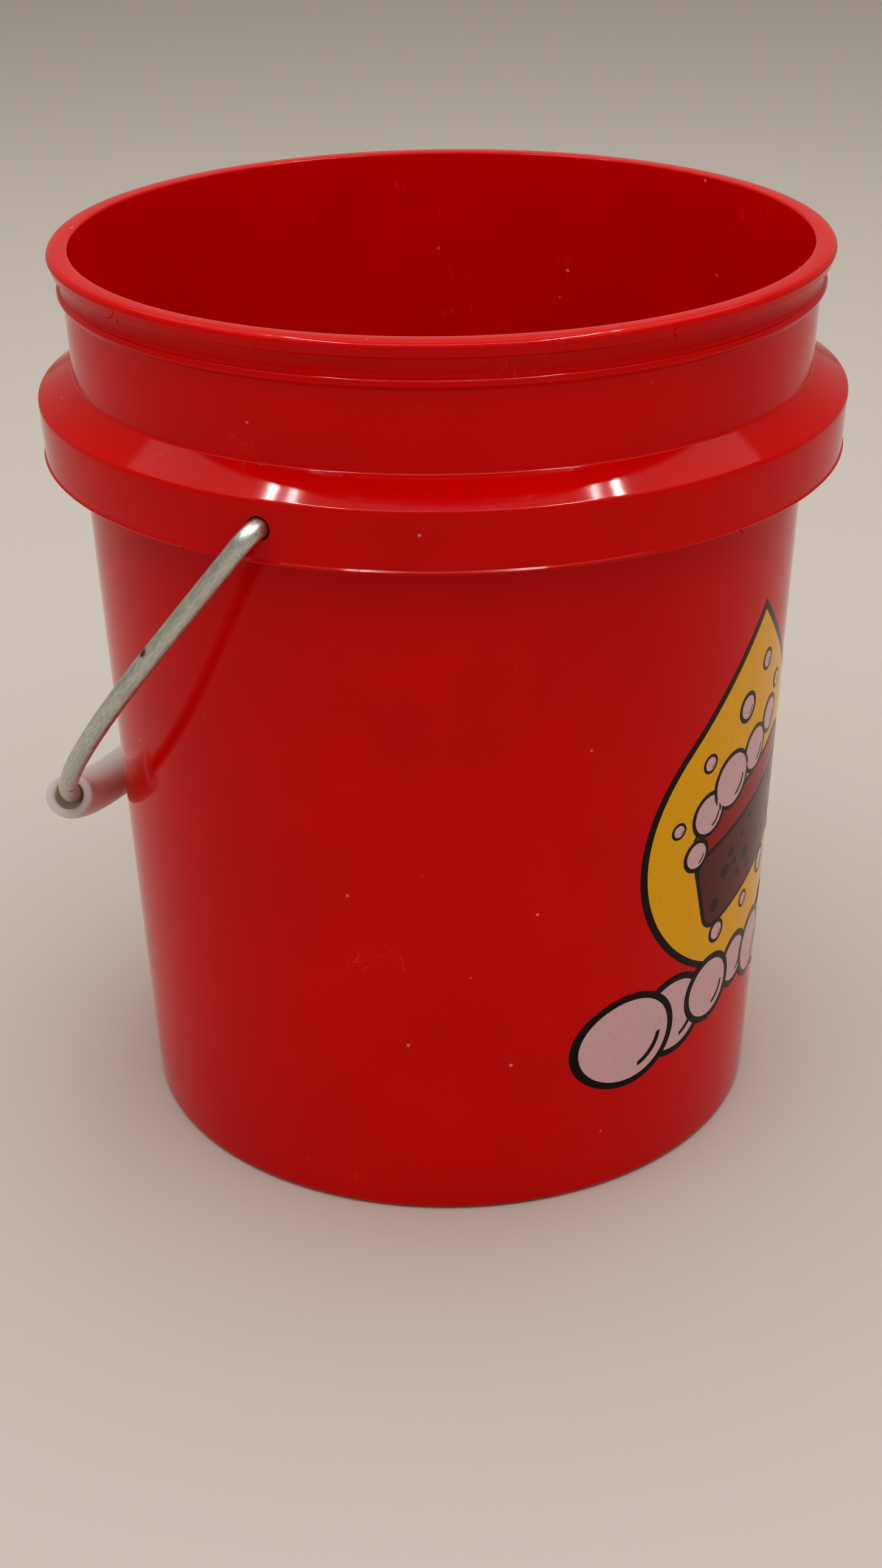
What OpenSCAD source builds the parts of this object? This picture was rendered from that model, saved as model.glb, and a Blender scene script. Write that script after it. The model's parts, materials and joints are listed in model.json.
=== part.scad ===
// Small moulded wash pail of one US quart, with a swinging wire bail and a tube hand grip.
// Origin: centre of the base, on the surface the pail stands on. +Z up. Millimetres.
// The bail pivots on an axis along Y and hangs towards -X. The decal faces +X.

/* [Pail] */
// Height from the base to the top of the lip
pail_h = 131.4; // [128:0.2:136]
// Radius of the ring that the pail stands on
base_r = 46; // [45:0.1:46.2]
// Draft of the wall from the vertical, in degrees
draft = 2.6; // [2:0.1:2.8]
// Thickness of the wall
wall_t = 1.5; // [1.2:0.1:2]
// Thickness of the floor
floor_t = 1.8; // [1.4:0.1:2.6]
// Depth of the hollow under the floor, inside the foot ring
foot_h = 0.8; // [0.4:0.1:1.2]
// Width of the foot ring
foot_w = 3.4; // [2:0.2:6]

/* [Lip and bead] */
// How far the lip stands out from the wall
lip_out = 1.6; // [1.4:0.1:2.2]
// Depth of the lip's outer face
lip_h = 2; // [1.6:0.1:2.6]
// How far the bead below the lip stands out from the wall
bead_out = 0.8; // [0.5:0.1:1.2]
// Height of the middle of the bead, measured down from the top of the lip
bead_drop = 5.5; // [5:0.1:7]

/* [Collar] */
// Height where the collar's sloping top meets the wall
collar_root_z = 114.2; // [113.6:0.2:117]
// Height of the collar's top outer edge
collar_top_z = 111.2; // [110.6:0.2:112]
// Height of the collar's bottom edge
collar_low_z = 102.5; // [98:0.5:103]
// Outer radius of the collar at its top edge
collar_r = 57.1; // [56.8:0.1:57.4]
// Thickness of the collar
collar_t = 1.4; // [1.2:0.1:1.6]
// Ribs between the collar and the wall
rib_count = 12; // [6:2:16]
// Thickness of a rib
rib_t = 1; // [0.8:0.1:1.6]

/* [Bail] */
// Diameter of the wire
wire_d = 2.7; // [2.2:0.1:2.8]
// Diameter of the two holes in the collar that the wire turns in
hole_d = 3.3; // [3.1:0.1:3.6]
// Height of the pivot axis
pivot_z = 107.4; // [106.6:0.2:108]
// Distance from the pail's axis to the middle of a leg
leg_y = 59.25; // [59.25:0.05:61]
// Length of the straight leg, from the pivot axis to the start of the bow
leg_l = 23.8; // [22:0.2:28]
// Bend radius of the elbow at the hole, at the middle of the wire
elbow_r = 2.2; // [1.8:0.1:2.4]
// Angle of the hanging bail from straight down, in degrees
hang = 39; // [39:0.5:60]

/* [Grip] */
// Outer diameter of the tube
grip_d = 6.8; // [6.2:0.1:6.8]
// Bore of the tube
grip_bore = 4.2; // [4.2:0.1:4.6]
// Half of the angle of the bow that the tube covers, in degrees
grip_half = 40; // [25:1:44]
// How far the tube hangs off the middle of the wire
grip_sag = 0.4; // [0:0.05:0.4]

/* [Decal] */
// Thickness of the printed film
film_t = 0.12; // [0.08:0.01:0.2]
// Turn of the decal's middle from +X, in degrees
decal_turn = -5; // [-20:1:20]
// Height of the middle of the drop
drop_z = 52.5; // [50:0.5:56]
// Radius of the drop's round part
drop_r = 23.5; // [20:0.5:24]
// Height of the drop's point above its middle
drop_tip = 33.5; // [30:0.5:38]
// Number of bubbles in the band of suds
suds_count = 7; // [5:2:9]
// Distance from the middle of the band to its last bubble's middle
suds_half = 23.5; // [20:0.5:24]
// Radius of the bubbles at the band's two ends
suds_end_r = 7.8; // [7:0.2:8.6]
// Radius of the bubble in the band's middle
suds_mid_r = 4.6; // [4.4:0.2:6]
// Height of the band's level top
suds_top_z = 32.6; // [30:0.2:34]

/* [Hidden] */
$fn = 96;
slope = tan(draft);
// The wall's cone would meet the ground this far outside the foot ring.
corner_out = 0.85;
// How much the collar's skirt leans in towards its bottom, per millimetre
skirt_slope = 0.058;
// Radii of the rounded edges and corners
floor_fillet = 2;
base_edge = 1;
lip_edge = 1;
mouth_edge = 0.4;
bead_edge = 0.7;
collar_edge = 0.7;
skirt_edge = 0.3;
// The shelf is this thick, measured straight down.
shelf_t = 1.6;
// Ribs start this far above the skirt's bottom, and run this far into the walls.
rib_rise = 3;
rib_bite = 0.4;
// Upset head at each end of the wire, and where its inner face lies
head_d = 4.4;
head_t = 1;
head_y = 53.8;
// Space between the head and the end of the bored hole
head_space = 0.4;
// The film's face stands this far off the wall. It lies between these heights.
film_gap = 0.02;
film_low_z = 10;
film_high_z = 95;

// Outer radius of the wall at height z
function wall_r(z) = base_r + corner_out + z * slope;
// Outer radius of the collar's skirt at height z
function skirt_r(z) = collar_r - (collar_top_z - z) * skirt_slope;
// Points of an arc about c, from angle a0 to a1
function arc(c, r, a0, a1, n = 5) =
    [for (i = [0 : n]) let (a = a0 + (a1 - a0) * i / n) c + r * [cos(a), sin(a)]];

// Half section of the inside, from the middle of the floor to the mouth
function inner_side() = concat(
    [[0, floor_t]],
    arc([wall_r(floor_t) - wall_t - floor_fillet, floor_t + floor_fillet], floor_fillet, -90, 0),
    [[wall_r(pail_h) - wall_t, pail_h - mouth_edge]]
);
// Half section of the lip, the groove under it and the bead, from the lip's top down
function neck_side() = concat(
    arc([wall_r(pail_h) - wall_t + mouth_edge, pail_h - mouth_edge], mouth_edge, 180, 90, 3),
    arc([wall_r(pail_h) + lip_out - lip_edge, pail_h - lip_edge], lip_edge, 90, 0),
    [[wall_r(pail_h) + lip_out - lip_edge / 3, pail_h - lip_h]],
    [[wall_r(pail_h - lip_h), pail_h - lip_h - mouth_edge]],
    [[wall_r(pail_h - bead_drop), pail_h - bead_drop + 2 * bead_edge]],
    arc([wall_r(pail_h - bead_drop) + bead_out - bead_edge, pail_h - bead_drop], bead_edge, 60, -60),
    [[wall_r(pail_h - bead_drop - bead_edge), pail_h - bead_drop - bead_edge]]
);
// Half section of the collar, from its root down round its skirt and up its inside
function collar_side() = concat(
    [[wall_r(collar_root_z), collar_root_z]],
    arc([collar_r - collar_edge, collar_top_z - collar_edge], collar_edge, 60, 0),
    arc([skirt_r(collar_low_z) - skirt_edge, collar_low_z + skirt_edge], skirt_edge, 0, -90, 3),
    [[skirt_r(collar_low_z) - collar_t, collar_low_z]],
    [[collar_r - collar_t, collar_top_z - shelf_t]],
    [[wall_r(collar_root_z - shelf_t), collar_root_z - shelf_t]]
);
// Half section of the outside of the base
function base_side() = concat(
    arc([base_r + corner_out - base_edge, base_edge], base_edge, 0, -90),
    [[base_r - foot_w, 0]],
    [[base_r - foot_w - foot_h, foot_h]],
    [[0, foot_h]]
);

// Open pail in one piece: floor, wall, lip, bead, hollow collar and its ribs
module pail() {
    color("#b00a08") difference() {
        union() {
            rotate_extrude() polygon(concat(inner_side(), neck_side(), collar_side(), base_side()));
            ribs();
        }
        translate([0, 0, pivot_z]) rotate([90, 0, 0]) bail_holes();
    }
}
// Ribs inside the collar, in pairs across the pail
module ribs() {
    plate = [2.5 * collar_r, rib_t, collar_root_z - collar_low_z];
    intersection() {
        rotate_extrude() rib_section();
        for (i = [0 : rib_count / 2 - 1]) rotate([0, 0, (i + 0.5) * 360 / rib_count])
            translate([-plate.x / 2, -rib_t / 2, collar_low_z]) cube(plate);
    }
}
// Section of the space between the skirt and the wall that a rib fills
module rib_section() {
    low_z = collar_low_z + rib_rise;
    polygon([
        [wall_r(low_z) - rib_bite, low_z],
        [skirt_r(low_z) - collar_t + rib_bite, low_z],
        [collar_r - collar_t + rib_bite, collar_top_z - shelf_t / 2],
        [wall_r(collar_root_z) - rib_bite, collar_root_z - shelf_t / 2]
    ]);
}
// The two holes on the pivot axis, which is Z here; they stop short of the wall
module bail_holes() {
    for (side = [0, 1]) mirror([0, 0, side])
        translate([0, 0, head_y + head_space]) cylinder(h = collar_r - head_y, d = hole_d);
}

// Galvanised wire bow: two straight legs, a half-round bow, and an elbow and a head at each end
module bail() {
    color("#a9aca6") translate([0, 0, pivot_z]) rotate([0, hang, 0]) {
        translate([0, 0, -leg_l]) rotate([0, -90, 0]) rotate([0, 0, 90])
            rotate_extrude(angle = 180) translate([leg_y, 0]) circle(d = wire_d);
        for (side = [0, 1]) mirror([0, side, 0]) bail_end();
    }
}
// One leg, its elbow and its headed end, on the +Y side
module bail_end() {
    translate([0, leg_y, -leg_l]) cylinder(h = leg_l - elbow_r, d = wire_d);
    translate([0, leg_y - elbow_r, -elbow_r]) rotate([0, -90, 0])
        rotate_extrude(angle = 90) translate([elbow_r, 0]) circle(d = wire_d);
    translate([0, head_y, 0]) rotate([-90, 0, 0]) {
        cylinder(h = leg_y - elbow_r - head_y, d = wire_d);
        cylinder(h = head_t, d = head_d);
    }
}

// Milky tube on the middle of the bow, bent to the same curve
module grip() {
    color("#e4dfdb") translate([0, 0, pivot_z]) rotate([0, hang, 0])
        translate([0, 0, -leg_l]) rotate([0, -90, 0]) rotate([0, 0, 180 - grip_half])
            rotate_extrude(angle = 2 * grip_half) translate([leg_y + grip_sag, 0]) difference() {
                circle(d = grip_d);
                circle(d = grip_bore);
            }
}

// Printed film on the wall: a water drop with a band of suds across its foot
module decal() {
    color("#e9b20a") difference() {
        intersection() {
            rotate([0, 0, decal_turn]) rotate([90, 0, 90]) linear_extrude(collar_r) {
                drop_outline();
                suds_outline();
            }
            wall_cone(film_gap + film_t);
        }
        wall_cone(film_gap);
    }
}
// Solid cone that stands clear of the wall by a distance
module wall_cone(clear) {
    translate([0, 0, film_low_z]) cylinder(
        h = film_high_z - film_low_z,
        r1 = wall_r(film_low_z) + clear,
        r2 = wall_r(film_high_z) + clear
    );
}
// Round drop whose two straight sides leave the circle tangentially and meet in a point
module drop_outline() {
    turn = acos(drop_r / drop_tip);
    polygon(concat(
        arc([0, drop_z], drop_r, 90 + turn, 450 - turn, 48),
        [[0, drop_z + drop_tip]]
    ));
}
// Row of round bubbles, large at the two ends and small in the middle, level along the top
module suds_outline() {
    for (i = [0 : suds_count - 1]) {
        t = 2 * i / (suds_count - 1) - 1;
        r = suds_mid_r + (suds_end_r - suds_mid_r) * abs(t);
        translate([suds_half * t, suds_top_z - r]) circle(r = r);
    }
}

pail();
bail();
grip();
decal();
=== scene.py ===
import json
import math
import random

import bpy
from mathutils import Matrix, Vector


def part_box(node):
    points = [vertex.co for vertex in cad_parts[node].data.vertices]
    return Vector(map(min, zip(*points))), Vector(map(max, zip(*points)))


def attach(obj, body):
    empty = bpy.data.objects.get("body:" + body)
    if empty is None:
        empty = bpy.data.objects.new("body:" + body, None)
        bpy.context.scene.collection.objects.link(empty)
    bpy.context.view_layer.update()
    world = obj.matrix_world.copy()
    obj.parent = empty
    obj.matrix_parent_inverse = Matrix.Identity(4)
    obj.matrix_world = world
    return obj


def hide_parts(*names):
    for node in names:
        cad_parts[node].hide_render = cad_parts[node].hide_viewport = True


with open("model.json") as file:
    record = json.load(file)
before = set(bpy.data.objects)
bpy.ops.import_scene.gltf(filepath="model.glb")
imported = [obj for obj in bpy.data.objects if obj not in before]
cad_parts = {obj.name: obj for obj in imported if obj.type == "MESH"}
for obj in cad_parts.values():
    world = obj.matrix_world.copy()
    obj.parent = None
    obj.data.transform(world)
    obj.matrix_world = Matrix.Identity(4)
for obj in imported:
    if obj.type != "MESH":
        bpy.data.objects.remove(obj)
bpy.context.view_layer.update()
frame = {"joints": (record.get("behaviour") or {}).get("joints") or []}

# ---------------------------------------------------------------- Pail
# One injection moulding in red polypropylene: floor, tapered wall, bead, lip and a hollow collar.
# It is spun from its half section, then the ribs are joined in and the two bail holes are cut.

mm = 0.001
_, pail_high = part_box("pail")
pail_h = pail_high.z
collar_r = pail_high.x
bail_joint = next(j for j in frame["joints"] if j["name"] == "bail_swing")
pivot = Vector(bail_joint["pos_m"])

draft = math.tan(math.radians(2.6))
foot_r = 46 * mm
corner_out = 0.85 * mm
wall_t = 1.5 * mm
floor_t = 1.8 * mm
foot_h = 0.8 * mm
lip_out = 1.6 * mm
lip_h = 2 * mm
bead_out = 0.8 * mm
bead_z = pail_h - 5.5 * mm
shelf_root_z = 114.2 * mm
shelf_edge_z = 111.2 * mm
skirt_low_z = 102.5 * mm
skirt_t = 1.4 * mm
skirt_slope = 0.058
hole_r = 1.65 * mm
hole_clear = 2.1 * mm
hole_sides = 48
rib_count = 12
rib_t = 1 * mm
rib_rise = 3 * mm
rib_bite = 0.4 * mm
turn_steps = 288


def wall_r(z):
    """Outer radius of the wall at height z."""
    return foot_r + corner_out + z * draft


def skirt_r(z):
    """Outer radius of the collar's skirt at height z."""
    return collar_r - (shelf_edge_z - z) * skirt_slope


def arc(r, z, radius, start, end, steps=6):
    """Points (r, z) of an arc in the half section, with its angles in degrees."""
    turns = [math.radians(start + (end - start) * i / steps) for i in range(steps + 1)]
    return [(r + radius * math.cos(t), z + radius * math.sin(t)) for t in turns]


def deselect():
    """Leaves edit mode and selects nothing, so the next operator acts on its own piece only."""
    if bpy.context.object and bpy.context.object.mode == "EDIT":
        bpy.ops.object.mode_set(mode="OBJECT")
    bpy.ops.object.select_all(action="DESELECT")


def draw_line(name, points):
    """New piece, left in edit mode: a plane merged to one vertex, extruded from point to point."""
    deselect()
    bpy.ops.mesh.primitive_plane_add(size=mm)
    piece = bpy.context.object
    piece.name = name
    bpy.ops.object.mode_set(mode="EDIT")
    bpy.ops.mesh.select_all(action="SELECT")
    bpy.ops.mesh.merge(type="CENTER")
    bpy.ops.transform.translate(value=points[0])
    for here, there in zip(points, points[1:]):
        step = Vector(there) - Vector(here)
        bpy.ops.mesh.extrude_region_move(TRANSFORM_OT_translate={"value": step})
    bpy.ops.mesh.select_all(action="SELECT")
    return piece


def close_up(merge=0.002 * mm):
    """Merges doubles and turns the faces outwards, then leaves edit mode."""
    bpy.ops.mesh.select_all(action="SELECT")
    bpy.ops.mesh.remove_doubles(threshold=merge)
    bpy.ops.mesh.normals_make_consistent(inside=False)
    bpy.ops.object.mode_set(mode="OBJECT")


def cut(piece, tool, operation):
    """Adds or cuts the tool from the piece, and deletes the tool."""
    deselect()
    piece.select_set(True)
    bpy.context.view_layer.objects.active = piece
    change = piece.modifiers.new("cut", "BOOLEAN")
    change.operation = operation
    change.solver = "EXACT"
    change.object = tool
    bpy.ops.object.modifier_apply(modifier=change.name)
    bpy.data.objects.remove(tool)


def join(pieces, name):
    """Joins the pieces into the first one."""
    deselect()
    for piece in pieces:
        piece.select_set(True)
    bpy.context.view_layer.objects.active = pieces[0]
    bpy.ops.object.join()
    pieces[0].name = name
    return pieces[0]


def settle(piece):
    """Applies the piece's place, so that its object sits at the origin."""
    deselect()
    piece.select_set(True)
    bpy.context.view_layer.objects.active = piece
    bpy.ops.object.transform_apply(location=True, rotation=True, scale=True)


def smooth(piece, degrees=32):
    """Smooth shading, with edges sharper than the angle kept crisp."""
    deselect()
    piece.select_set(True)
    bpy.context.view_layer.objects.active = piece
    bpy.ops.object.shade_smooth_by_angle(angle=math.radians(degrees))


# Half section as points (r, z), from the middle of the base out, up, over the lip and down inside.
# It starts with the mark that the injection gate left under the base.
gate = [
    (0, foot_h - 0.35 * mm),
    (0.9 * mm, foot_h - 0.35 * mm),
    (1.2 * mm, foot_h + 0.3 * mm),
    (4.6 * mm, foot_h + 0.3 * mm),
    (5 * mm, foot_h),
]
base = (
    gate
    + [(r * mm, foot_h) for r in (12, 24, 34)]
    + arc(foot_r - 4.6 * mm, foot_h - 0.4 * mm, 0.4 * mm, 90, 30, 3)
    + arc(foot_r - 3 * mm, 0.3 * mm, 0.3 * mm, 210, 270, 3)
    + arc(foot_r - 0.15 * mm, 1 * mm, 1 * mm, -90, -3, 8)
)
wall = [(wall_r(z * mm), z * mm) for z in (6, 20, 36, 52, 68, 84, 98)]
under_shelf = (
    arc(wall_r(shelf_root_z - 2 * mm) + 0.4 * mm, shelf_root_z - 2.1 * mm, 0.4 * mm, 180, 60, 4)
    + [(skirt_r(shelf_edge_z) - skirt_t, shelf_edge_z - 1.2 * mm)]
    + [(skirt_r(pivot.z + dz) - skirt_t, pivot.z + dz) for dz in (hole_clear, -hole_clear)]
)
# The mould's halves met at the skirt's bottom edge, which left a fine ridge. Its points are out
# and up from that edge, in millimetres.
seam = [(0.02, 0.34), (0.2, 0.42), (0.22, 0.5), (0.03, 0.72)]
skirt = (
    arc(skirt_r(skirt_low_z) - skirt_t + 0.3 * mm, skirt_low_z + 0.3 * mm, 0.3 * mm, 180, 270, 4)
    + arc(skirt_r(skirt_low_z) - 0.3 * mm, skirt_low_z + 0.3 * mm, 0.3 * mm, 270, 350, 4)
    + [(skirt_r(skirt_low_z) + dr * mm, skirt_low_z + dz * mm) for dr, dz in seam]
    + [(skirt_r(pivot.z + dz), pivot.z + dz) for dz in (-hole_clear, hole_clear)]
    + arc(skirt_r(shelf_edge_z) - 0.7 * mm, shelf_edge_z - 0.5 * mm, 0.7 * mm, 0, 62, 7)
)
neck = (
    arc(wall_r(shelf_root_z) + 0.6 * mm, shelf_root_z + 0.35 * mm, 0.6 * mm, 242, 180, 5)
    + [(wall_r(118 * mm), 118 * mm), (wall_r(122 * mm), 122 * mm)]
    + arc(wall_r(bead_z - 1 * mm) + 0.4 * mm, bead_z - 1.15 * mm, 0.4 * mm, 180, 120, 3)
    + arc(wall_r(bead_z) + bead_out - 0.7 * mm, bead_z, 0.7 * mm, -55, 70, 8)
    + [(wall_r(bead_z + 1.5 * mm), bead_z + 1.5 * mm)]
)
lip = (
    arc(wall_r(pail_h) + 0.6 * mm, pail_h - lip_h - 0.7 * mm, 0.5 * mm, 180, 95, 4)
    + arc(wall_r(pail_h) + lip_out - 0.62 * mm, pail_h - lip_h + 0.15 * mm, 0.25 * mm, -80, 5, 4)
    + arc(wall_r(pail_h) + lip_out - 0.9 * mm, pail_h - 0.9 * mm, 0.9 * mm, 8, 82, 7)
    + arc(wall_r(pail_h) - wall_t + 0.45 * mm, pail_h - 0.35 * mm, 0.35 * mm, 96, 180, 5)
)
inside = (
    [(wall_r(z * mm) - wall_t, z * mm) for z in (126, 114, 98, 80, 60, 40, 20)]
    + arc(wall_r(floor_t) - wall_t - 2 * mm, floor_t + 2 * mm, 2 * mm, 0, -90, 8)
    + [(r * mm, floor_t) for r in (34, 22, 10)]
    + [(0, floor_t)]
)
section = base + wall + under_shelf + skirt + neck + lip + inside
pail = draw_line("pail_moulding", [(r, 0, z) for r, z in section])
bpy.ops.mesh.spin(steps=turn_steps, angle=math.tau, center=(0, 0, 0), axis=(0, 0, 1))
close_up()


def make_rib():
    """Flat plate that fills the space between the skirt and the wall, along the X axis."""
    low_z = skirt_low_z + rib_rise
    high_z = shelf_edge_z - 0.9 * mm
    corners = [
        (wall_r(low_z) - rib_bite, low_z),
        (skirt_r(low_z) - skirt_t + rib_bite, low_z + 1.2 * mm),
        (skirt_r(high_z) - skirt_t + rib_bite, high_z),
        (wall_r(shelf_root_z) - rib_bite, shelf_root_z - 1 * mm),
    ]
    rib = draw_line("rib", [(r, -rib_t / 2, z) for r, z in corners])
    bpy.ops.mesh.edge_face_add()
    bpy.ops.mesh.extrude_region_move(TRANSFORM_OT_translate={"value": (0, rib_t, 0)})
    close_up()
    return rib


ribs = []
for i in range(rib_count):
    rib = make_rib()
    rib.rotation_euler.z = math.tau * (i + 0.5) / rib_count
    settle(rib)
    ribs.append(rib)
cut(pail, join(ribs, "ribs"), "UNION")

drill_l = 4 * mm
drill_y = skirt_r(pivot.z) - 0.4 * mm
for side in (-1, 1):
    deselect()
    bpy.ops.mesh.primitive_cylinder_add(
        vertices=hole_sides, radius=hole_r, depth=drill_l,
        location=(0, side * drill_y, pivot.z), rotation=(math.pi / 2, 0, 0),
    )
    cut(pail, bpy.context.object, "DIFFERENCE")
smooth(pail)
settle(pail)
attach(pail, "pail_body")
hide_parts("pail")


def linear(hex_colour):
    """Linear colour of an sRGB hex value, fully opaque."""
    parts = [int(hex_colour[i:i + 2], 16) / 255 for i in (1, 3, 5)]
    light = [c / 12.92 if c <= 0.04045 else ((c + 0.055) / 1.055) ** 2.4 for c in parts]
    return (*light, 1)


def add(material, kind, links=(), stops=(), **settings):
    """Adds a node. links is pairs of (input, output socket), and stops is a colour ramp's pairs of
    (place, hex colour). A setting with a capital letter is an input's value, and any other is a
    property."""
    new = material.node_tree.nodes.new(kind)
    for name, value in settings.items():
        if name[0].isupper():
            new.inputs[name.replace("_", " ")].default_value = value
        else:
            setattr(new, name, value)
    for place, socket in links:
        material.node_tree.links.new(socket, new.inputs[place])
    for i, (place, colour) in enumerate(stops):
        if i == len(new.color_ramp.elements):
            new.color_ramp.elements.new(place)
        new.color_ramp.elements[i].position = place
        new.color_ramp.elements[i].color = linear(colour)
    return new


def start_material(name, **shader):
    """New material with its Principled shader's own sockets set. Returns both, and the Object
    coordinates."""
    material = bpy.data.materials.new(name)
    material.use_nodes = True
    bsdf = material.node_tree.nodes["Principled BSDF"]
    for socket, value in shader.items():
        bsdf.inputs[socket.replace("_", " ")].default_value = value
    place = add(material, "ShaderNodeTexCoord").outputs["Object"]
    return material, bsdf, place


def set_material(piece, material):
    """Gives the whole piece one material."""
    piece.data.materials.clear()
    piece.data.materials.append(material)


def red_polypropylene():
    """Injection-moulded, pigmented polypropylene. The polished mould leaves a gloss, with a fine
    orange peel, faint flow clouds and a few pale specks of dust and lint."""
    material, bsdf, place = start_material(
        "red_moulded_polypropylene", IOR=1.49, Specular_IOR_Level=0.15
    )
    at = [("Vector", place)]
    wires = material.node_tree.links
    # Flow clouds are about 20 mm across.
    clouds = add(material, "ShaderNodeTexNoise", at, Scale=45.0, Detail=3.0)
    red = add(
        material, "ShaderNodeValToRGB", [(0, clouds.outputs["Fac"])],
        [(0.3, "#cf0302"), (0.7, "#d80503")],
    )
    # Specks are about 0.5 mm across. One in every few 4 mm cells is kept.
    specks = add(material, "ShaderNodeTexVoronoi", at, Scale=260.0)
    speck_mask = add(
        material, "ShaderNodeValToRGB", [(0, specks.outputs["Distance"])],
        [(0.05, "#ffffff"), (0.085, "#000000")],
    )
    choose = add(material, "ShaderNodeTexNoise", at, Scale=190.0, Detail=0.0)
    choose_mask = add(
        material, "ShaderNodeValToRGB", [(0, choose.outputs["Fac"])],
        [(0.66, "#000000"), (0.7, "#ffffff")],
    )
    kept = add(
        material, "ShaderNodeMath", [(0, speck_mask.outputs[0]), (1, choose_mask.outputs[0])],
        operation="MULTIPLY",
    )
    dusty = add(
        material, "ShaderNodeMix", [("Factor", kept.outputs[0]), (6, red.outputs[0])],
        data_type="RGBA",
    )
    dusty.inputs[7].default_value = linear("#e2938a")
    # Hair-fine curly scratches and lint, 0.1 mm wide, in a few patches about 15 mm across.
    curl = add(material, "ShaderNodeTexNoise", at, Scale=330.0, Detail=2.0, Distortion=1.5)
    hair = add(
        material, "ShaderNodeValToRGB", [(0, curl.outputs["Fac"])],
        [(0.494, "#000000"), (0.499, "#ffffff"), (0.503, "#ffffff"), (0.508, "#000000")],
    )
    patch = add(material, "ShaderNodeTexNoise", at, Scale=75.0, Detail=1.0)
    patch_mask = add(
        material, "ShaderNodeValToRGB", [(0, patch.outputs["Fac"])],
        [(0.66, "#000000"), (0.71, "#8a8a8a")],
    )
    lint = add(
        material, "ShaderNodeMath", [(0, hair.outputs[0]), (1, patch_mask.outputs[0])],
        operation="MULTIPLY",
    )
    scratched = add(
        material, "ShaderNodeMix", [("Factor", lint.outputs[0]), (6, dusty.outputs[2])],
        data_type="RGBA",
    )
    scratched.inputs[7].default_value = linear("#e8705f")
    wires.new(scratched.outputs[2], bsdf.inputs["Base Color"])
    # The gloss varies in patches of about 8 mm.
    haze = add(material, "ShaderNodeTexNoise", at, Scale=120.0, Detail=4.0)
    rough = add(
        material, "ShaderNodeMapRange", [("Value", haze.outputs["Fac"])], To_Min=0.05, To_Max=0.1
    )
    wires.new(rough.outputs["Result"], bsdf.inputs["Roughness"])
    # Orange peel of about 0.7 mm.
    peel = add(material, "ShaderNodeTexNoise", at, Scale=1400.0, Detail=2.0)
    bump = add(
        material, "ShaderNodeBump", [("Height", peel.outputs["Fac"])],
        Strength=0.03, Distance=0.05 * mm,
    )
    wires.new(bump.outputs["Normal"], bsdf.inputs["Normal"])
    return material


red_plastic = red_polypropylene()
set_material(pail, red_plastic)

# ---------------------------------------------------------------- Flash
# Slivers of the same red plastic, squeezed out at the mould's parting lines and never trimmed off.
# They curl from under the lip and from the collar's bottom edge.

random.seed(11)
sliver_w = 0.22 * mm


def make_sliver(length, curl):
    """Thin tapering curl that grows from the origin along X and bends by the angle curl."""
    deselect()
    bpy.ops.mesh.primitive_plane_add(size=sliver_w, rotation=(0, math.pi / 2, 0))
    sliver = bpy.context.object
    bpy.ops.object.transform_apply(rotation=True)
    bpy.ops.object.mode_set(mode="EDIT")
    bpy.ops.mesh.select_all(action="SELECT")
    steps = 6
    twist = 0.35
    taper = 0.86
    for i in range(steps):
        turn = curl * (i + 0.5) / steps
        step = Vector((math.cos(turn), math.sin(turn), twist * math.sin(2 * turn))) * length / steps
        bpy.ops.mesh.extrude_region_move(TRANSFORM_OT_translate={"value": step})
        bpy.ops.transform.resize(value=(taper, taper, taper))
    close_up(0.0001 * mm)
    return sliver


lip_under = (wall_r(pail_h) + lip_out - 0.6 * mm, pail_h - lip_h + 0.05 * mm)
skirt_under = (skirt_r(skirt_low_z) - 0.35 * mm, skirt_low_z + 0.12 * mm)
# Turn round the pail from -Y in degrees, edge, length in millimetres, and curl in degrees. The
# first five are the ones in plain sight, and the rest are scattered.
spots = [
    (-27, lip_under, 1.5, 150), (-25.5, lip_under, 1.1, -80), (56, lip_under, 1.9, 190),
    (13, skirt_under, 1.6, 210), (-12, skirt_under, 0.8, 90),
]
scattered = 16
for i in range(scattered):
    edge = lip_under if i % 3 == 0 else skirt_under
    turn = random.uniform(0, 360)
    spots.append((turn, edge, random.uniform(0.5, 1.3), random.uniform(-200, 200)))
slivers = []
for turn, (edge_r, edge_z), length, curl in spots:
    sliver = make_sliver(length * mm, math.radians(curl))
    around = math.radians(turn - 90)
    sliver.location = (edge_r * math.cos(around), edge_r * math.sin(around), edge_z)
    sliver.rotation_euler = (math.radians(70 + 25 * random.random()), math.radians(55), around)
    settle(sliver)
    slivers.append(sliver)
flash = join(slivers, "moulding_flash")
smooth(flash, 60)
set_material(flash, red_plastic)
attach(flash, "pail_body")

# ---------------------------------------------------------------- Decal
# Thin film printed in black, yellow, brown, dark red and off-white, and moulded onto the wall.
# A water drop holds a sponge and bubbles, with a row of suds over its foot.

decal_turn = math.radians(-5)
drop_z = 52.5 * mm
drop_r = 23.5 * mm
drop_tip = 33.5 * mm
suds_count = 7
suds_half = 23.5 * mm
suds_end_r = 7.8 * mm
suds_mid_r = 4.6 * mm
suds_top_z = 32.6 * mm
outline_w = 1.05 * mm
bisect_step = 1.25 * mm
# Layers of ink start this far off the wall, in millimetres
ink_low = 0.03
bubble_low = 0.025
drop_low = 0.02
disc_sides = 48


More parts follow.
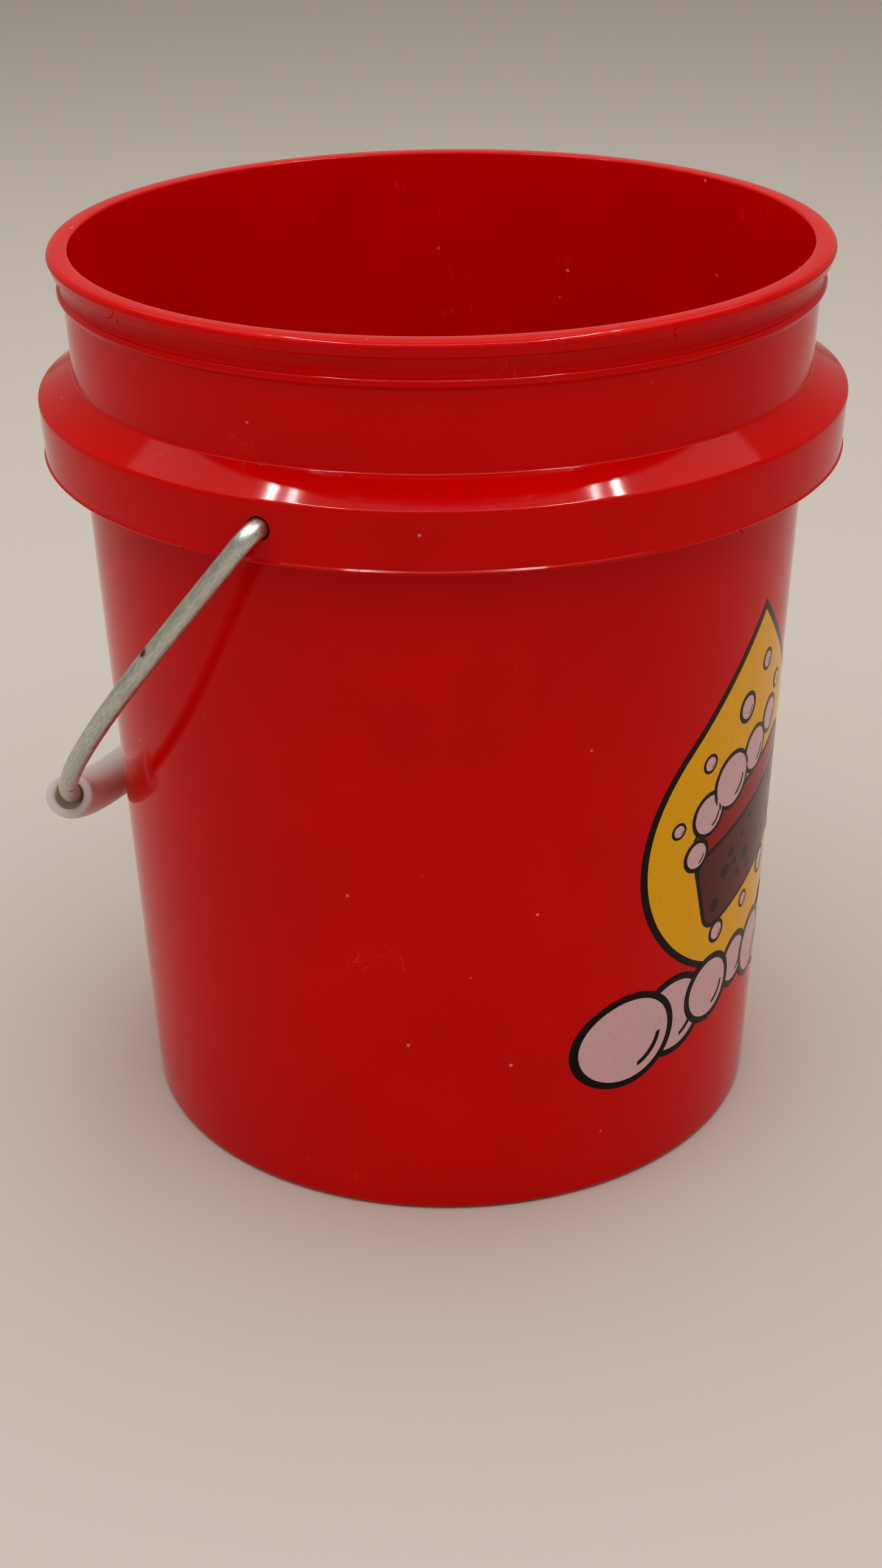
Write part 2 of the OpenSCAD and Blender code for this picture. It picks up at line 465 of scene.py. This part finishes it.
def printed_ink(name, dark, light):
    """Screen-printed ink on a clear film: solid, slightly mottled, and duller than the wall."""
    material, bsdf, place = start_material(name, IOR=1.45, Specular_IOR_Level=0.2)
    at = [("Vector", place)]
    wires = material.node_tree.links
    # Mottling of about 0.6 mm.
    mottle = add(material, "ShaderNodeTexNoise", at, Scale=1700.0, Detail=2.0)
    colour = add(
        material, "ShaderNodeValToRGB", [(0, mottle.outputs["Fac"])], [(0.3, dark), (0.7, light)]
    )
    wires.new(colour.outputs["Color"], bsdf.inputs["Base Color"])
    # The gloss varies in patches of about 7 mm.
    haze = add(material, "ShaderNodeTexNoise", at, Scale=150.0, Detail=3.0)
    rough = add(
        material, "ShaderNodeMapRange", [("Value", haze.outputs["Fac"])], To_Min=0.14, To_Max=0.22
    )
    wires.new(rough.outputs["Result"], bsdf.inputs["Roughness"])
    return material


black_ink = printed_ink("printed_ink_black", "#120707", "#170a0a")
yellow_ink = printed_ink("printed_ink_yellow", "#ecac01", "#f2b303")
brown_ink = printed_ink("printed_ink_brown", "#5e2419", "#66291d")
pore_ink = printed_ink("printed_ink_dark_brown", "#2e100b", "#34130e")
scourer_ink = printed_ink("printed_ink_dark_red", "#981011", "#a01414")
white_ink = printed_ink("printed_ink_off_white", "#d9aeb2", "#dfb6ba")
prints = []


def print_shape(ink):
    """Gives the shape just made its ink. It lies flat, with X round the wall and Y up it."""
    shape = bpy.context.object
    settle(shape)
    set_material(shape, ink)
    prints.append(shape)


def print_disc(ink, middle, radius, top, low=ink_low):
    """Round spot of ink, from low to top in millimetres off the wall."""
    deselect()
    bpy.ops.mesh.primitive_cylinder_add(
        vertices=disc_sides, radius=radius, depth=(top - low) * mm,
        location=(*middle, (top + low) / 2 * mm),
    )
    print_shape(ink)


def print_outline(ink, points, top, low=ink_low):
    """Spot of ink with any outline, given as (x, y) points."""
    draw_line("print", [(x, y, low * mm) for x, y in points])
    bpy.ops.mesh.edge_face_add()
    bpy.ops.mesh.extrude_region_move(TRANSFORM_OT_translate={"value": (0, 0, (top - low) * mm)})
    close_up(0.0005 * mm)
    print_shape(ink)


def drop_outline(grow):
    """Outline of the drop, with its edge moved out by grow."""
    size = (drop_r + grow) / drop_r
    lean = math.degrees(math.acos(drop_r / drop_tip))
    round_part = arc(0, drop_z, drop_r * size, 90 + lean, 450 - lean, 64)
    return round_part + [(0, drop_z + drop_tip * size)]


def turned(x, y, turn, middle):
    """Point (x, y) turned by an angle in degrees and moved to the middle."""
    c, s = math.cos(math.radians(turn)), math.sin(math.radians(turn))
    return (middle[0] + x * c - y * s, middle[1] + x * s + y * c)


def block_outline(left, low, right, high, corner, turn, middle):
    """Outline of a block with round corners, turned by an angle about the middle."""
    points = (
        arc(right - corner, high - corner, corner, 0, 90)
        + arc(left + corner, high - corner, corner, 90, 180)
        + arc(left + corner, low + corner, corner, 180, 270)
        + arc(right - corner, low + corner, corner, 270, 360)
    )
    return [turned(x, y, turn, middle) for x, y in points]


def print_glint(middle, radius, start, end, width, top):
    """Thin black crescent inside a bubble."""
    outer = arc(*middle, radius, start, end, 10)
    across = math.radians((start + end) / 2)
    inner_x = middle[0] - width * math.cos(across)
    inner_y = middle[1] - width * math.sin(across)
    inner = arc(inner_x, inner_y, radius, end, start, 10)
    print_outline(black_ink, outer + inner[1:-1], top)


def print_bubble(middle, radius, top, edge=outline_w):
    """Off-white bubble with a black edge and a crescent."""
    print_disc(black_ink, middle, radius, top, bubble_low)
    print_disc(white_ink, middle, radius - edge, top + 0.012)
    print_glint(middle, (radius - edge) * 0.8, 290, 358, 0.1 * radius, top + 0.022)


# Each layer of ink ends about 0.012 mm higher than the one it lies on, so that it covers it.
print_outline(black_ink, drop_outline(0), 0.05, drop_low)
print_outline(yellow_ink, drop_outline(-outline_w), 0.064)

# Sponge: brown foam with dark pores, under a dark red scouring layer
sponge_at = (1.5 * mm, 50 * mm)
sponge_turn = 16
sponge_half_w = 15 * mm
sponge_half_h = 9.5 * mm
scourer_h = 5.5 * mm


def print_block(ink, low, high, shrink, corner, top):
    """One layer of the sponge, between two heights of it."""
    points = block_outline(
        shrink - sponge_half_w, low, sponge_half_w - shrink, high, corner, sponge_turn, sponge_at
    )
    print_outline(ink, points, top)


edge_w = 0.7 * mm
layer_z = sponge_half_h - scourer_h
print_block(black_ink, -sponge_half_h, sponge_half_h, 0, 3.2 * mm, 0.078)
print_block(brown_ink, edge_w - sponge_half_h, layer_z - edge_w / 2, edge_w, 2.4 * mm, 0.09)
print_block(scourer_ink, layer_z + edge_w / 2, sponge_half_h - edge_w, edge_w, 1.8 * mm, 0.09)
pore_count = 17
pore_gap = 0.8 * mm
pores = []
while len(pores) < pore_count:
    x = random.uniform(-0.86, 0.86) * sponge_half_w
    y = random.uniform(-0.76, 0.2) * sponge_half_h
    radius = random.choice((0.45, 0.6, 0.8, 1.1)) * mm
    if all(math.dist((x, y), spot) > radius + other + pore_gap for *spot, other in pores):
        pores.append((x, y, radius))
for x, y, radius in pores:
    print_disc(pore_ink, turned(x, y, sponge_turn, sponge_at), radius, 0.1)

# Froth on the sponge, loose bubbles over it, and drips under it: middle and radius in millimetres
froth = [
    (-11.5, 57.2, 3.6), (-6.2, 60.6, 4.6), (0.6, 62.8, 3.8), (6.0, 66.0, 3.0), (-13.6, 51.4, 2.6),
]
loose = [
    (-3.4, 70.8, 2.4), (2.4, 76.0, 1.7), (8.4, 70.6, 1.5), (-12.2, 65.4, 1.5), (-17.6, 56.8, 1.3),
]
drips = [(-7.0, 36.2, 1.9), (1.4, 37.6, 1.4), (9.2, 40.4, 2.3), (17.2, 42.6, 1.3)]
for i, (x, y, r) in enumerate(froth + loose + drips):
    edge = min(outline_w * 0.62, 0.3 * r * mm)
    print_bubble((x * mm, y * mm), r * mm, 0.094 + 0.012 * (i % 2), edge)

# Row of suds, level along its top, with every second bubble in front of its neighbours
for front in (0, 1):
    for i in range(1 - front, suds_count, 2):
        t = 2 * i / (suds_count - 1) - 1
        radius = suds_mid_r + (suds_end_r - suds_mid_r) * abs(t)
        middle = (suds_half * t, suds_top_z - radius)
        print_bubble(middle, radius, 0.078 + 0.024 * front)

decal = join(prints, "printed_decal")
bpy.ops.object.mode_set(mode="EDIT")
u = -suds_half - suds_end_r
while u < suds_half + suds_end_r:
    bpy.ops.mesh.select_all(action="SELECT")
    bpy.ops.mesh.bisect(plane_co=(u, 0, 0), plane_no=(1, 0, 0))
    u += bisect_step
bpy.ops.object.mode_set(mode="OBJECT")
for vertex in decal.data.vertices:
    u, height, off = vertex.co
    radius = wall_r(height) + off
    around = math.asin(u / radius) + decal_turn
    vertex.co = (radius * math.cos(around), radius * math.sin(around), height)
bpy.ops.object.mode_set(mode="EDIT")
bpy.ops.mesh.select_all(action="SELECT")
bpy.ops.mesh.normals_make_consistent(inside=False)
bpy.ops.object.mode_set(mode="OBJECT")
smooth(decal, 30)
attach(decal, "pail_body")
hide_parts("decal")

# ---------------------------------------------------------------- Bail
# Galvanised steel wire, cold-bent to two straight legs and a half-round bow. Each end turns inwards
# through a hole in the collar and is upset to a head behind it.

hang = math.radians(39)
wire_r = 1.35 * mm
leg_y = 59.25 * mm
leg_l = 23.8 * mm
elbow_r = 2.2 * mm
head_y = 53.8 * mm
head_t = 1 * mm
head_r = 2.2 * mm
wire_sides = 28
bow_steps = 72
leg_steps = 8
elbow_steps = 14

deselect()
bpy.ops.mesh.primitive_circle_add(
    vertices=wire_sides, radius=wire_r, location=(0, 0, -leg_l - leg_y),
    rotation=(math.pi / 2, 0, 0),
)
bail = bpy.context.object
bail.name = "bail_wire"
settle(bail)
bpy.ops.object.mode_set(mode="EDIT")
bpy.ops.mesh.select_all(action="SELECT")
bpy.ops.mesh.spin(steps=bow_steps, angle=math.pi / 2, center=(0, 0, -leg_l), axis=(-1, 0, 0))
rise = (leg_l - elbow_r) / leg_steps
for i in range(leg_steps):
    bpy.ops.mesh.extrude_region_move(TRANSFORM_OT_translate={"value": (0, 0, rise)})
elbow_middle = (0, leg_y - elbow_r, -elbow_r)
bpy.ops.mesh.spin(steps=elbow_steps, angle=math.pi / 2, center=elbow_middle, axis=(-1, 0, 0))
# Steps inwards along the pivot, each with how much the ring of points grows: the head and its rims
inward = [
    (leg_y - elbow_r - head_y - head_t, 1), (0, 1.25), (0.15 * mm, head_r / wire_r / 1.25),
    (head_t - 0.3 * mm, 1), (0.15 * mm, 0.9),
]
for step, size in inward:
    bpy.ops.mesh.extrude_region_move(TRANSFORM_OT_translate={"value": (0, -step, 0)})
    bpy.ops.transform.resize(value=(size, 1, size))
bpy.ops.mesh.edge_face_add()
bpy.ops.object.mode_set(mode="OBJECT")
other_half = bail.modifiers.new("other_half", "MIRROR")
other_half.use_axis = (False, True, False)
other_half.merge_threshold = 0.01 * mm
bpy.ops.object.modifier_apply(modifier=other_half.name)
bpy.ops.object.mode_set(mode="EDIT")
close_up()

# Where each point lies: along the wire from its middle, and across it in two directions
half_bow = math.pi / 2 * leg_y
run = bail.data.attributes.new("wire_run", "FLOAT_VECTOR", "POINT")
for vertex, place in zip(bail.data.vertices, run.data):
    x, y, z = vertex.co
    side = math.copysign(1, y)
    if z < -leg_l:
        place.vector = (math.atan2(y, -leg_l - z) * leg_y, x, math.hypot(y, z + leg_l) - leg_y)
    elif abs(y) > leg_y - elbow_r and z < -elbow_r:
        place.vector = (side * (half_bow + z + leg_l), x, abs(y) - leg_y)
    else:
        place.vector = (side * (half_bow + leg_l + leg_y - abs(y)), x, z)


def hang_from_pivot(piece):
    """Turns a piece that was made hanging straight down from the origin to its rest place."""
    piece.location = pivot
    piece.rotation_euler.y = hang
    settle(piece)


hang_from_pivot(bail)
smooth(bail, 50)


def galvanised_wire():
    """Drawn steel wire with a hot-dip zinc coat: satin, a grey-white spangle drawn out along the
    wire, a few darker rubbed patches and small dark scuffs."""
    material, bsdf, _ = start_material("galvanised_steel_wire", Metallic=1.0)
    wires = material.node_tree.links
    along = add(material, "ShaderNodeAttribute", attribute_name="wire_run").outputs["Vector"]
    # Streaks are about 1.5 mm long and 0.25 mm across.
    stretch = add(material, "ShaderNodeMapping", [("Vector", along)], Scale=(700, 3800, 3800))
    streak = add(
        material, "ShaderNodeTexNoise", [("Vector", stretch.outputs["Vector"])],
        Scale=1.0, Detail=4.0,
    )
    zinc = add(
        material, "ShaderNodeValToRGB", [(0, streak.outputs["Fac"])],
        [(0.3, "#b2b6ad"), (0.5, "#c6cac1"), (0.72, "#d6dad1")],
    )
    # Rubbed patches are about 4 mm across.
    patch = add(material, "ShaderNodeTexNoise", [("Vector", along)], Scale=260.0, Detail=3.0)
    worn = add(
        material, "ShaderNodeValToRGB", [(0, patch.outputs["Fac"])],
        [(0.58, "#000000"), (0.72, "#8a8a8a")],
    )
    rubbed = add(
        material, "ShaderNodeMix", [("Factor", worn.outputs[0]), (6, zinc.outputs[0])],
        data_type="RGBA",
    )
    rubbed.inputs[7].default_value = linear("#959a90")
    # Scuffs are up to 1.5 mm across and 9 mm apart.
    scuff = add(material, "ShaderNodeTexVoronoi", [("Vector", along)], Scale=110.0)
    scuff_mask = add(
        material, "ShaderNodeValToRGB", [(0, scuff.outputs["Distance"])],
        [(0.06, "#ffffff"), (0.1, "#000000")],
    )
    scuffed = add(
        material, "ShaderNodeMix", [("Factor", scuff_mask.outputs[0]), (6, rubbed.outputs[2])],
        data_type="RGBA",
    )
    scuffed.inputs[7].default_value = linear("#4b4d46")
    wires.new(scuffed.outputs[2], bsdf.inputs["Base Color"])
    rough = add(
        material, "ShaderNodeMapRange", [("Value", streak.outputs["Fac"])], To_Min=0.28, To_Max=0.5
    )
    wires.new(rough.outputs["Result"], bsdf.inputs["Roughness"])
    bump = add(
        material, "ShaderNodeBump", [("Height", streak.outputs["Fac"])],
        Strength=0.2, Distance=0.03 * mm,
    )
    wires.new(bump.outputs["Normal"], bsdf.inputs["Normal"])
    return material


set_material(bail, galvanised_wire())
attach(bail, "bail_body")
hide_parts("bail")

# ---------------------------------------------------------------- Grip
# Short length of milky polyethylene tube, extruded, cut square and threaded on the wire. It is
# loose, so it hangs off the wire's middle.

grip_r = 3.4 * mm
grip_bore_r = 2.1 * mm
grip_half = math.radians(40)
grip_bow_r = leg_y + 0.4 * mm
tube_sides = 48
tube_steps = 64

# The tube's cut end is a ring, on the bow and square to it
start = (0, -math.sin(grip_half) * grip_bow_r, -leg_l - math.cos(grip_half) * grip_bow_r)
lean = (math.pi / 2 - grip_half, 0, 0)
deselect()
bpy.ops.mesh.primitive_circle_add(
    vertices=tube_sides, radius=grip_r, location=start, rotation=lean
)
grip = bpy.context.object
grip.name = "grip_tube"
settle(grip)
bpy.ops.object.mode_set(mode="EDIT")
bpy.ops.mesh.primitive_circle_add(
    vertices=tube_sides, radius=grip_bore_r, location=start, rotation=lean
)
bpy.ops.mesh.select_all(action="SELECT")
bpy.ops.mesh.bridge_edge_loops()
bpy.ops.mesh.select_all(action="SELECT")
bpy.ops.mesh.spin(steps=tube_steps, angle=2 * grip_half, center=(0, 0, -leg_l), axis=(-1, 0, 0))
close_up()
rims = grip.modifiers.new("rims", "BEVEL")
rims.limit_method = "ANGLE"
rims.angle_limit = math.radians(60)
rims.width = 0.35 * mm
rims.segments = 3
bpy.ops.object.modifier_apply(modifier=rims.name)
hang_from_pivot(grip)
smooth(grip, 40)


def milky_polyethylene():
    """Extruded low-density polyethylene, unpigmented: waxy and milky, so light sinks in and
    spreads. Fine die lines and a few dirty smudges."""
    material, bsdf, place = start_material(
        "milky_polyethylene_tube", IOR=1.5, Subsurface_Weight=1.0,
        Subsurface_Radius=(1.0, 0.75, 0.65), Subsurface_Scale=3 * mm, Transmission_Weight=0.3,
    )
    at = [("Vector", place)]
    wires = material.node_tree.links
    # Clouds in the milkiness are about 8 mm across.
    cloud = add(material, "ShaderNodeTexNoise", at, Scale=130.0, Detail=4.0)
    milk = add(
        material, "ShaderNodeValToRGB", [(0, cloud.outputs["Fac"])],
        [(0.3, "#f0e8e1"), (0.7, "#f8f3ee")],
    )
    # Smudges are about 1.5 mm across.
    smudge = add(material, "ShaderNodeTexNoise", at, Scale=620.0, Detail=3.0)
    smudge_mask = add(
        material, "ShaderNodeValToRGB", [(0, smudge.outputs["Fac"])],
        [(0.66, "#000000"), (0.78, "#9a9a9a")],
    )
    dirty = add(
        material, "ShaderNodeMix", [("Factor", smudge_mask.outputs[0]), (6, milk.outputs[0])],
        data_type="RGBA",
    )
    dirty.inputs[7].default_value = linear("#b5aaa0")
    wires.new(dirty.outputs[2], bsdf.inputs["Base Color"])
    rough = add(
        material, "ShaderNodeMapRange", [("Value", cloud.outputs["Fac"])], To_Min=0.3, To_Max=0.46
    )
    wires.new(rough.outputs["Result"], bsdf.inputs["Roughness"])
    # Die lines and waxy ripple, about 0.5 mm.
    ripple = add(material, "ShaderNodeTexNoise", at, Scale=1900.0, Detail=2.0)
    bump = add(
        material, "ShaderNodeBump", [("Height", ripple.outputs["Fac"])],
        Strength=0.2, Distance=0.05 * mm,
    )
    wires.new(bump.outputs["Normal"], bsdf.inputs["Normal"])
    return material


set_material(grip, milky_polyethylene())
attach(grip, "grip_body")
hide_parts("grip")

# ---------------------------------------------------------------- Studio
# Plain pale floor and soft light. None of it is part of the object.

deselect()
bpy.ops.mesh.primitive_circle_add(
    vertices=96, radius=4, fill_type="NGON", location=(0, 0, -0.02 * mm)
)
floor = bpy.context.object
floor.name = "floor"
settle(floor)
card, card_bsdf, _ = start_material("pale_card", Roughness=0.9)
card_bsdf.inputs["Base Color"].default_value = linear("#d3ccc5")
set_material(floor, card)

world = bpy.data.worlds.new("studio")
bpy.context.scene.world = world
world.use_nodes = True
background = world.node_tree.nodes["Background"]
background.inputs["Color"].default_value = linear("#d9d2c8")
background.inputs["Strength"].default_value = 0.5

view_turn = math.radians(24.03)


def soft_box(name, place, size, power, target, glints_only=False):
    """Rectangular light that points at the target. Both places are right, away and up, as seen in
    metres, and the power is in watts. A light for glints only shows in gloss and lights nothing."""
    lamp = bpy.data.lights.new(name, "AREA")
    lamp.shape = "RECTANGLE"
    lamp.size, lamp.size_y = size
    lamp.energy = power
    holder = bpy.data.objects.new(name, lamp)
    to_model = Matrix.Rotation(view_turn, 4, "Z")
    spot = to_model @ Vector(place)
    aim = to_model @ Vector(target) - spot
    turn = aim.to_track_quat("-Z", "Y").to_matrix().to_4x4()
    holder.matrix_world = Matrix.Translation(spot) @ turn
    holder.visible_camera = False
    holder.visible_diffuse = not glints_only
    bpy.context.collection.objects.link(holder)


# A light that points down has its target a hair behind it, to fix its turn.
behind = 0.001
soft_box("ceiling", (0, 0, 0.7), (1.1, 1.1), 4.1, (0, behind, 0))
soft_box("front", (0, -0.75, 0.6), (0.7, 0.35), 0.3, (0, 0, 0.07))
# Narrow tubes and small lamps, seen only in the gloss, draw fine bright lines along the lip and the
# collar and a cluster of spots on each side of the collar.
tube_z = 0.58
lamp_z = 0.57
tube_w = 0.008
for side in (-1, 1):
    soft_box(
        "side_tube", (side * 0.2, -0.155, tube_z), (tube_w, 0.29), 0.9,
        (side * 0.2, -0.155 + behind, 0), True,
    )
    for aside, away in ((0.183, 0.032), (0.211, 0.052)):
        soft_box(
            "lamp", (side * aside, away, lamp_z), (0.008, 0.008), 0.15,
            (side * aside, away + behind, 0), True,
        )
soft_box("front_tube", (0, -0.31, tube_z), (0.4, tube_w), 0.6, (0, -0.31 + behind, 0), True)

# ---------------------------------------------------------------- Camera
# Looks down at the pail from in front, a little to the right of the bail's hole.

view_distance = 336.2 * mm
view_height = 213.3 * mm
look_down = math.radians(26.48)
pan = math.radians(0.18)
roll = math.radians(0.789)
focal_length = 55.9
lens = bpy.data.cameras.new("camera")
lens.lens = focal_length
camera = bpy.data.objects.new("camera", lens)
right, toward = math.sin(view_turn), math.cos(view_turn)
spot = Vector((right * view_distance, -toward * view_distance, view_height))
aim = Matrix.Rotation(view_turn + pan, 4, "Z") @ Matrix.Rotation(math.pi / 2 - look_down, 4, "X")
camera.matrix_world = Matrix.Translation(spot) @ aim @ Matrix.Rotation(-roll, 4, "Z")
bpy.context.collection.objects.link(camera)
bpy.context.scene.camera = camera
bpy.context.scene.view_settings.view_transform = "Standard"
bpy.context.scene.view_settings.look = "Medium High Contrast"
